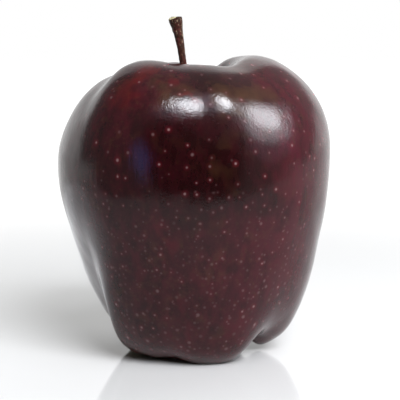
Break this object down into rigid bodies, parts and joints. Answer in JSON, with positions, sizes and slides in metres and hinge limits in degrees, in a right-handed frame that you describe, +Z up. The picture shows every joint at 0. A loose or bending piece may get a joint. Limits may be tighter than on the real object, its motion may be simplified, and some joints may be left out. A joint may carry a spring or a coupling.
{
  "type": "red apple",
  "caption": "Whole dark red dessert apple with its woody stem and dried calyx, standing upright on its own lobed base.",
  "frame": {"origin": "on the surface that the apple stands on, under the middle of its outer box", "axes": "+Z up along the core, -Y out of the side that faces the viewer, +X to the viewer's right"},
  "size_m": [0.0806, 0.0804, 0.0994],
  "materials": {
    "skin": "waxed dark red fruit skin, glossy over a faint orange-peel ripple, with fine pale lenticels, darker burgundy mottling and short red streaks",
    "bark": "dull dark brown bark of a thin fruit stalk, reddish towards the fruit, flecked with grey and tan, with a pale scar at the broken end",
    "husk": "dry, papery grey-brown sepals and stamens, matt and downy"
  },
  "bodies": {
    "root": {"apple": "skin", "stem": "bark", "calyx": "husk"}
  },
  "joints": []
}
